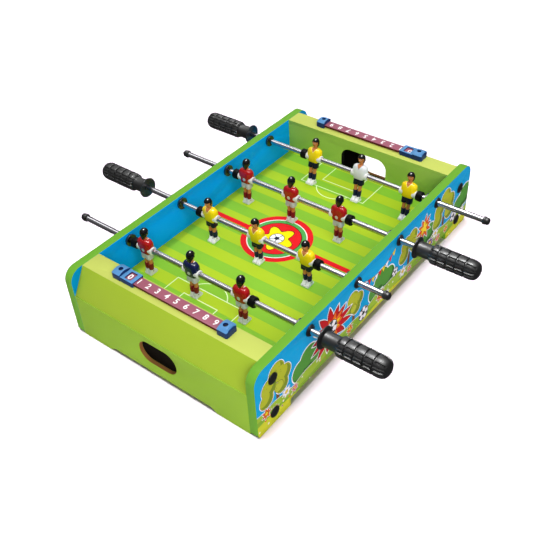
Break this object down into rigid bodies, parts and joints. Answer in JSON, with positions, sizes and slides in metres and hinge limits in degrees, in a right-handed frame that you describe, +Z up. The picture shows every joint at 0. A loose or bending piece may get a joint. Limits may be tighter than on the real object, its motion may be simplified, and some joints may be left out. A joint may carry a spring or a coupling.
{
  "type": "tabletop foosball table",
  "caption": "Tabletop football table: low printed box on feet, sliding and turning rods with men and ribbed grips, slide score counters, goals with ball boxes.",
  "frame": {"origin": "on the floor under the middle of the box", "axes": "+X across the table along the rods, +Y along the table to the far end, +Z up"},
  "size_m": [0.5687, 0.51, 0.1231],
  "materials": {
    "panel": "satin lacquer on fibreboard",
    "field": "printed and lacquered board",
    "lime": "satin lacquer on fibreboard",
    "board": "raw fibreboard",
    "black_plastic": "moulded",
    "bumper": "matt",
    "screw": "zinc plated",
    "rail": "printed",
    "counter": "moulded",
    "rod": "polished tube",
    "man_red": "painted",
    "man_yellow": "painted",
    "man_navy": "painted",
    "man_white": "painted"
  },
  "bodies": {
    "table": {"side_panel_left": "panel", "side_panel_right": "panel", "playfield": "field", "goal_wall_near": "panel", "goal_wall_far": "panel", "end_top_near": "lime", "end_top_far": "lime", "end_slope_near": "lime", "end_slope_far": "lime", "end_panel_near": "panel", "end_panel_far": "panel", "ball_tray_near": "board", "ball_tray_far": "board", "field_battens": "board", "corner_blocks": "board", "bushings_left": "black_plastic", "bushings_right": "black_plastic", "bushing_rings": "black_plastic", "panel_screws": "screw", "screw_caps": "black_plastic", "score_rail_near": "rail", "score_rail_far": "rail", "score_mounts_near": "counter", "score_mounts_far": "counter", "score_screws": "screw"},
    "bumpers_a": {"bumpers_a": "bumper"},
    "rod_a": {"rod_a": "rod", "handle_a": "black_plastic", "end_cap_a": "black_plastic", "man_a1": "man_red", "man_a2": "man_navy", "man_a3": "man_red", "man_screws_a": "screw"},
    "bumpers_b": {"bumpers_b": "bumper"},
    "rod_b": {"rod_b": "rod", "handle_b": "black_plastic", "end_cap_b": "black_plastic", "man_b1": "man_yellow", "man_b2": "man_yellow", "man_b3": "man_yellow", "man_screws_b": "screw"},
    "bumpers_c": {"bumpers_c": "bumper"},
    "rod_c": {"rod_c": "rod", "handle_c": "black_plastic", "end_cap_c": "black_plastic", "man_c1": "man_red", "man_c2": "man_red", "man_c3": "man_red", "man_screws_c": "screw"},
    "bumpers_d": {"bumpers_d": "bumper"},
    "rod_d": {"rod_d": "rod", "handle_d": "black_plastic", "end_cap_d": "black_plastic", "man_d1": "man_yellow", "man_d2": "man_white", "man_d3": "man_yellow", "man_screws_d": "screw"},
    "slider_near": {"score_slider_near": "counter"},
    "slider_far": {"score_slider_far": "counter"}
  },
  "joints": [
    {"name": "slide_a", "type": "slide", "parent": "table", "child": "bumpers_a", "axis": [1, 0, 0], "range_m": [-0.0053, 0.0643]},
    {"name": "turn_a", "type": "hinge", "parent": "bumpers_a", "child": "rod_a", "pos_m": [-0.02949, -0.1517, 0.0924], "axis": [1, 0, 0], "continuous": true},
    {"name": "slide_b", "type": "slide", "parent": "table", "child": "bumpers_b", "axis": [1, 0, 0], "range_m": [-0.0303, 0.0393]},
    {"name": "turn_b", "type": "hinge", "parent": "bumpers_b", "child": "rod_b", "pos_m": [-0.00454, -0.05057, 0.0924], "axis": [1, 0, 0], "continuous": true},
    {"name": "slide_c", "type": "slide", "parent": "table", "child": "bumpers_c", "axis": [1, 0, 0], "range_m": [-0.0118, 0.0578]},
    {"name": "turn_c", "type": "hinge", "parent": "bumpers_c", "child": "rod_c", "pos_m": [-0.02303, 0.05057, 0.0924], "axis": [1, 0, 0], "continuous": true},
    {"name": "slide_d", "type": "slide", "parent": "table", "child": "bumpers_d", "axis": [1, 0, 0], "range_m": [-0.0627, 0.0069]},
    {"name": "turn_d", "type": "hinge", "parent": "bumpers_d", "child": "rod_d", "pos_m": [0.02792, 0.1517, 0.0924], "axis": [1, 0, 0], "continuous": true},
    {"name": "count_near", "type": "slide", "parent": "table", "child": "slider_near", "axis": [1, 0, 0], "range_m": [0, 0.1355]},
    {"name": "count_far", "type": "slide", "parent": "table", "child": "slider_far", "axis": [1, 0, 0], "range_m": [-0.1355, 0]}
  ]
}
